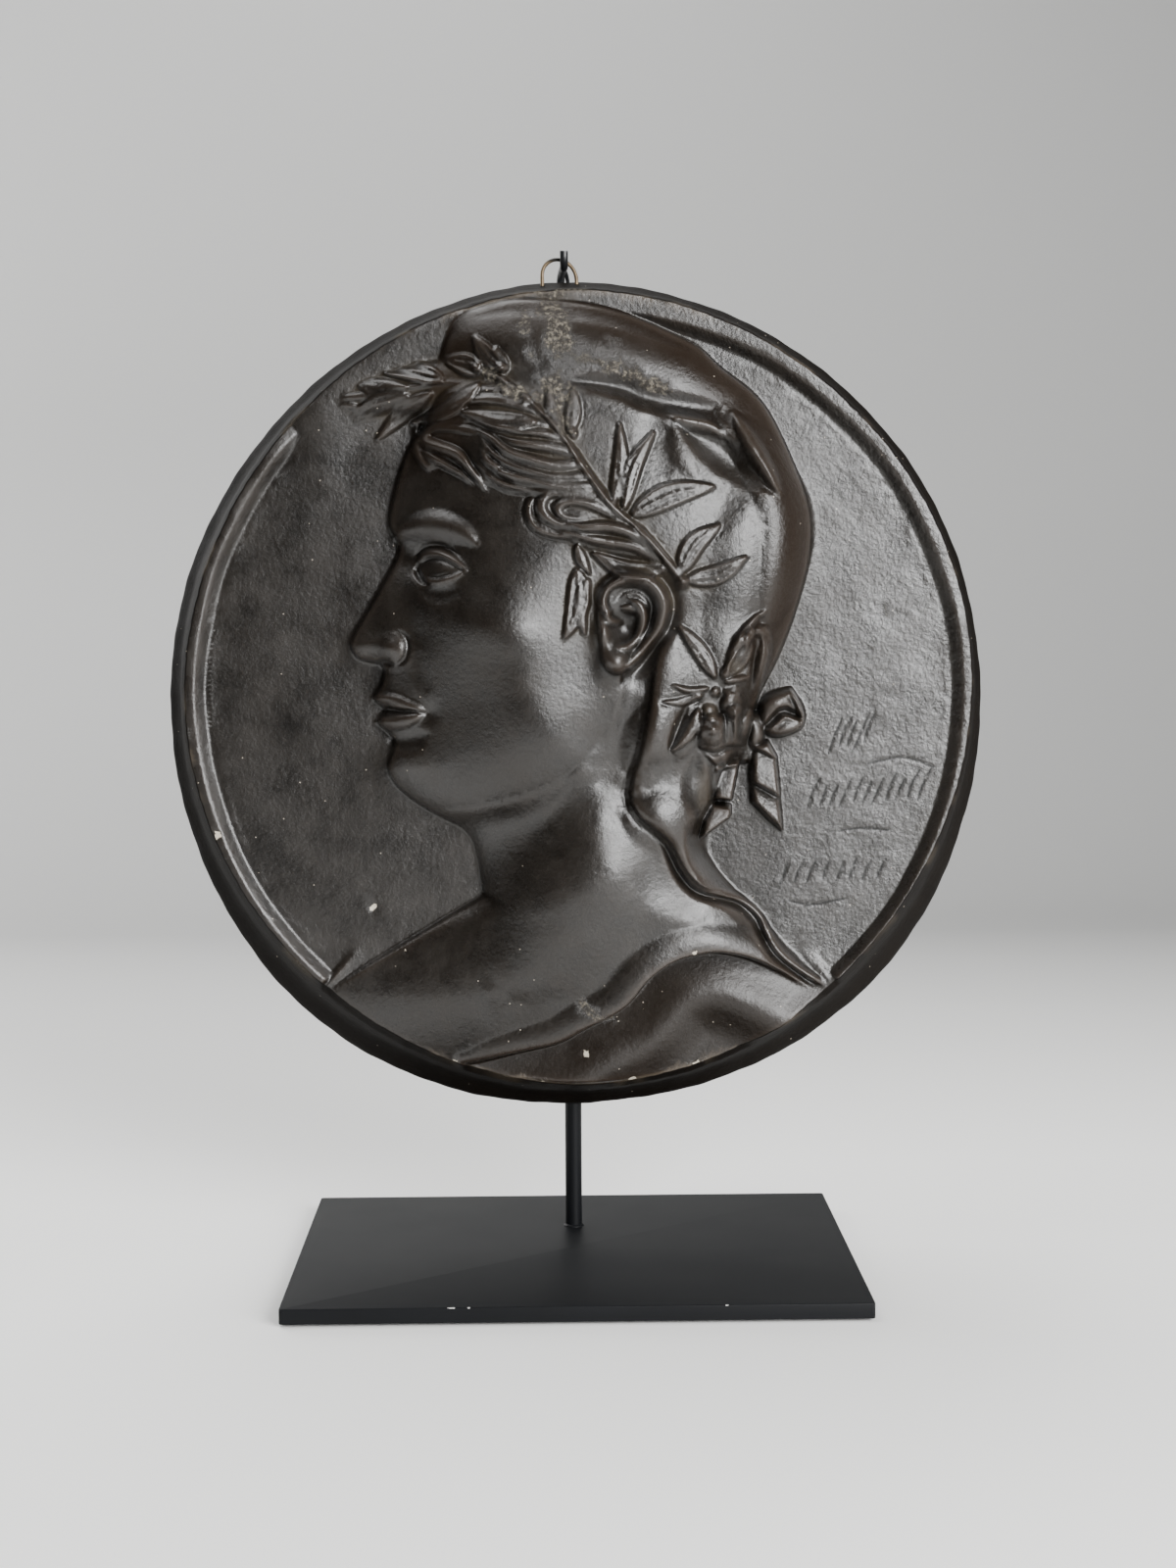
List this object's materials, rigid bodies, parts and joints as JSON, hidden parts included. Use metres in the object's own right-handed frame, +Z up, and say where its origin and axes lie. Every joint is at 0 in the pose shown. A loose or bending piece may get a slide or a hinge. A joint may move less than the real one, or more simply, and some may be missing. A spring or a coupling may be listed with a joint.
{
  "type": "relief plaque on display stand",
  "caption": "Round cast relief plaque of a wreathed head in profile, hung by a wire loop on the hook of a rod stand with a flat plate.",
  "frame": {"origin": "on the surface the stand rests on, under the middle of the whole object's box", "axes": "+Z up, +X to the viewer's right, the relief looks towards -Y"},
  "size_m": [0.4202, 0.2, 0.5163],
  "materials": {
    "patinated_plaster": "cast plaster under a dark bronze-brown patina with a soft wax gloss, chipped to white along the rim",
    "aged_wire": "dull brown oxidised wire",
    "black_paint": "satin black powder coat on mild steel",
    "dark_felt": "thin black felt"
  },
  "bodies": {
    "root": {"plaque": "patinated_plaster", "hanging_loop": "aged_wire", "stand_hook": "black_paint", "stand_rod": "black_paint", "stand_plate": "black_paint", "felt_sheet": "dark_felt"}
  },
  "joints": []
}
